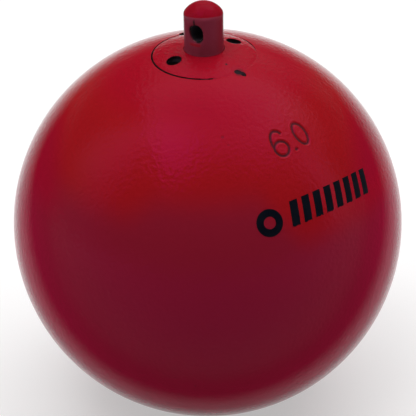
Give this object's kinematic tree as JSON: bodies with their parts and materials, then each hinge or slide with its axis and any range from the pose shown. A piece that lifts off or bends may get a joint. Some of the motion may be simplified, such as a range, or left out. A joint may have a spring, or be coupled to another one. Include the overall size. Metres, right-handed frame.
{
  "type": "throwing hammer head",
  "caption": "Iron ball of a throwing hammer with a flush screwed plug, a ball-bearing swivel and a domed spindle whose eye takes the wire.",
  "frame": {"origin": "centre of the ball, which is also the centroid", "axes": "+Z along the swivel, out through the spindle's crown; -Y towards the side on which the spindle's eye and the front lock screw show, 25 degrees and 41 degrees off it"},
  "size_m": [0.115, 0.115, 0.1295],
  "materials": {
    "red_iron": "thick glossy deep red paint with a fine orange peel over cast iron",
    "red_steel": "the same glossy red paint over turned steel",
    "spindle_steel": "glossy deep red paint over turned steel, a little thicker at the eye",
    "black_steel": "blackened steel",
    "bearing_steel": "ground and polished hardened steel",
    "zinc_steel": "zinc-plated turned steel",
    "bronze": "turned bearing bronze",
    "cage_brass": "machined brass",
    "seal_rubber": "black moulded rubber",
    "lead": "dull cast lead"
  },
  "bodies": {
    "swivel": {"spindle": "spindle_steel", "lower_race": "bearing_steel", "thrust_washer": "zinc_steel", "castle_nut": "zinc_steel", "split_pin": "zinc_steel"},
    "head": {"head_ball": "red_iron", "housing_plug": "red_steel", "front_lock_screw": "black_steel", "rear_lock_screw": "black_steel", "dust_seal": "seal_rubber", "spindle_bush": "bronze", "upper_race": "bearing_steel", "lead_filling": "lead", "filler_plug": "zinc_steel"},
    "cage": {"ball_cage": "cage_brass"},
    "rolling_ball_1": {"bearing_ball_1": "bearing_steel"},
    "rolling_ball_2": {"bearing_ball_2": "bearing_steel"},
    "rolling_ball_3": {"bearing_ball_3": "bearing_steel"},
    "rolling_ball_4": {"bearing_ball_4": "bearing_steel"},
    "rolling_ball_5": {"bearing_ball_5": "bearing_steel"},
    "rolling_ball_6": {"bearing_ball_6": "bearing_steel"},
    "rolling_ball_7": {"bearing_ball_7": "bearing_steel"},
    "rolling_ball_8": {"bearing_ball_8": "bearing_steel"},
    "rolling_ball_9": {"bearing_ball_9": "bearing_steel"}
  },
  "joints": [
    {"name": "head_swivel", "type": "hinge", "parent": "swivel", "child": "head", "pos_m": [0, 0, 0], "axis": [0, 0, 1], "continuous": true},
    {"name": "cage_turn", "type": "hinge", "parent": "swivel", "child": "cage", "pos_m": [0, 0, 0.039], "axis": [0, 0, 1], "continuous": true},
    {"name": "ball_roll_1", "type": "hinge", "parent": "cage", "child": "rolling_ball_1", "pos_m": [0.00865, 0, 0.039], "axis": [1, 0, 0], "continuous": true},
    {"name": "ball_roll_2", "type": "hinge", "parent": "cage", "child": "rolling_ball_2", "pos_m": [0.00662, 0.00556, 0.039], "axis": [0.766, 0.6428, 0], "continuous": true},
    {"name": "ball_roll_3", "type": "hinge", "parent": "cage", "child": "rolling_ball_3", "pos_m": [0.0015, 0.00851, 0.039], "axis": [0.1736, 0.9848, 0], "continuous": true},
    {"name": "ball_roll_4", "type": "hinge", "parent": "cage", "child": "rolling_ball_4", "pos_m": [-0.00432, 0.00749, 0.039], "axis": [-0.5, 0.866, 0], "continuous": true},
    {"name": "ball_roll_5", "type": "hinge", "parent": "cage", "child": "rolling_ball_5", "pos_m": [-0.00812, 0.00296, 0.039], "axis": [-0.9397, 0.342, 0], "continuous": true},
    {"name": "ball_roll_6", "type": "hinge", "parent": "cage", "child": "rolling_ball_6", "pos_m": [-0.00812, -0.00296, 0.039], "axis": [-0.9397, -0.342, 0], "continuous": true},
    {"name": "ball_roll_7", "type": "hinge", "parent": "cage", "child": "rolling_ball_7", "pos_m": [-0.00432, -0.00749, 0.039], "axis": [-0.5, -0.866, 0], "continuous": true},
    {"name": "ball_roll_8", "type": "hinge", "parent": "cage", "child": "rolling_ball_8", "pos_m": [0.0015, -0.00851, 0.039], "axis": [0.1736, -0.9848, 0], "continuous": true},
    {"name": "ball_roll_9", "type": "hinge", "parent": "cage", "child": "rolling_ball_9", "pos_m": [0.00662, -0.00556, 0.039], "axis": [0.766, -0.6428, 0], "continuous": true}
  ],
  "couplings": [
    {"joint": "cage_turn", "follows": "head_swivel", "ratio": 0.5},
    {"joint": "ball_roll_1", "follows": "head_swivel", "ratio": -1.8162},
    {"joint": "ball_roll_2", "follows": "head_swivel", "ratio": -1.8162},
    {"joint": "ball_roll_3", "follows": "head_swivel", "ratio": -1.8162},
    {"joint": "ball_roll_4", "follows": "head_swivel", "ratio": -1.8162},
    {"joint": "ball_roll_5", "follows": "head_swivel", "ratio": -1.8162},
    {"joint": "ball_roll_6", "follows": "head_swivel", "ratio": -1.8162},
    {"joint": "ball_roll_7", "follows": "head_swivel", "ratio": -1.8162},
    {"joint": "ball_roll_8", "follows": "head_swivel", "ratio": -1.8162},
    {"joint": "ball_roll_9", "follows": "head_swivel", "ratio": -1.8162}
  ]
}
